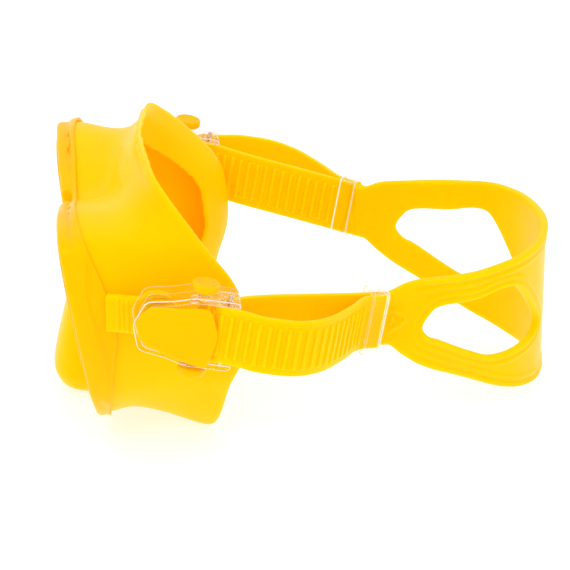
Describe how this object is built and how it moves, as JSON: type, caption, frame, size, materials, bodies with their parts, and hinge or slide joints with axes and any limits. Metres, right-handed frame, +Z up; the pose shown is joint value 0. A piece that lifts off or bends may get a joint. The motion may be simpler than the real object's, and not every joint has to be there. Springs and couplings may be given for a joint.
{
  "type": "snorkel mask",
  "caption": "Two-window snorkelling mask with a soft silicone body, nose pocket, swivel squeeze buckles and a split silicone head strap.",
  "frame": {"origin": "middle of the bounding box's base, on the surface that the mask stands on", "axes": "+X to the wearer's left, +Y towards the back of the head, +Z up; the windows face -Y"},
  "size_m": [0.2028, 0.214, 0.118],
  "materials": {
    "silicone": "soft satin, slightly see-through",
    "strap_silicone": "soft satin",
    "frame_plastic": "satin moulded",
    "clear_plastic": "clear polished",
    "glass": "polished tempered glass",
    "steel": "stainless"
  },
  "bodies": {
    "mask": {"skirt": "silicone", "frame": "frame_plastic", "lens_left": "glass", "lens_right": "glass", "bezel_left": "frame_plastic", "bezel_right": "frame_plastic", "lug_left": "silicone", "lug_right": "silicone", "pivot_pin_left": "clear_plastic", "pivot_pin_right": "clear_plastic"},
    "strap": {"head_strap": "strap_silicone", "buckle_body_left": "clear_plastic", "buckle_body_right": "clear_plastic", "buckle_cover_left": "frame_plastic", "buckle_cover_right": "frame_plastic", "roller_pin_left": "steel", "roller_pin_right": "steel", "button_spring_left": "steel", "button_spring_right": "steel"},
    "button_upper_left": {"button_upper_left": "frame_plastic"},
    "button_lower_left": {"button_lower_left": "frame_plastic"},
    "pawl_left": {"pawl_left": "clear_plastic"},
    "roller_left": {"roller_left": "clear_plastic"},
    "keeper_left": {"keeper_left": "clear_plastic"},
    "button_upper_right": {"button_upper_right": "frame_plastic"},
    "button_lower_right": {"button_lower_right": "frame_plastic"},
    "pawl_right": {"pawl_right": "clear_plastic"},
    "roller_right": {"roller_right": "clear_plastic"},
    "keeper_right": {"keeper_right": "clear_plastic"}
  },
  "joints": [
    {"name": "strap_swing", "type": "hinge", "parent": "mask", "child": "strap", "pos_m": [0, -0.064, 0.0704], "axis": [1, 0, 0], "range_deg": [-35, 60]},
    {"name": "button_upper_left_press", "type": "slide", "parent": "strap", "child": "button_upper_left", "axis": [0, -0.1736, -0.9848], "range_m": [0, 0.0016], "stiffness_N_per_m": 400, "deforming": ["button_spring_left"]},
    {"name": "button_lower_left_press", "type": "slide", "parent": "strap", "child": "button_lower_left", "axis": [0, 0.1736, 0.9848], "range_m": [0, 0.0016], "stiffness_N_per_m": 400},
    {"name": "pawl_left_release", "type": "hinge", "parent": "strap", "child": "pawl_left", "pos_m": [0.0939, -0.0512, 0.06814], "axis": [0, 0.1736, 0.9848], "range_deg": [-6, 0]},
    {"name": "roller_left_spin", "type": "hinge", "parent": "strap", "child": "roller_left", "pos_m": [0.0895, -0.03643, 0.06554], "axis": [0, 0.1736, 0.9848], "continuous": true},
    {"name": "keeper_left_slide", "type": "slide", "parent": "strap", "child": "keeper_left", "axis": [-0.3584, 0.9194, -0.1621], "range_m": [0, 0.003]},
    {"name": "button_upper_right_press", "type": "slide", "parent": "strap", "child": "button_upper_right", "axis": [0, -0.1736, -0.9848], "range_m": [0, 0.0016], "stiffness_N_per_m": 400, "deforming": ["button_spring_right"]},
    {"name": "button_lower_right_press", "type": "slide", "parent": "strap", "child": "button_lower_right", "axis": [0, 0.1736, 0.9848], "range_m": [0, 0.0016], "stiffness_N_per_m": 400},
    {"name": "pawl_right_release", "type": "hinge", "parent": "strap", "child": "pawl_right", "pos_m": [-0.0939, -0.0512, 0.06814], "axis": [0, 0.1736, 0.9848], "range_deg": [0, 6]},
    {"name": "roller_right_spin", "type": "hinge", "parent": "strap", "child": "roller_right", "pos_m": [-0.0895, -0.03643, 0.06554], "axis": [0, 0.1736, 0.9848], "continuous": true},
    {"name": "keeper_right_slide", "type": "slide", "parent": "strap", "child": "keeper_right", "axis": [0.3584, 0.9194, -0.1621], "range_m": [0, 0.003]}
  ],
  "couplings": [
    {"joint": "pawl_left_release", "follows": "button_upper_left_press", "rad_per_m": -64.359},
    {"joint": "pawl_right_release", "follows": "button_upper_right_press", "rad_per_m": 64.359}
  ]
}
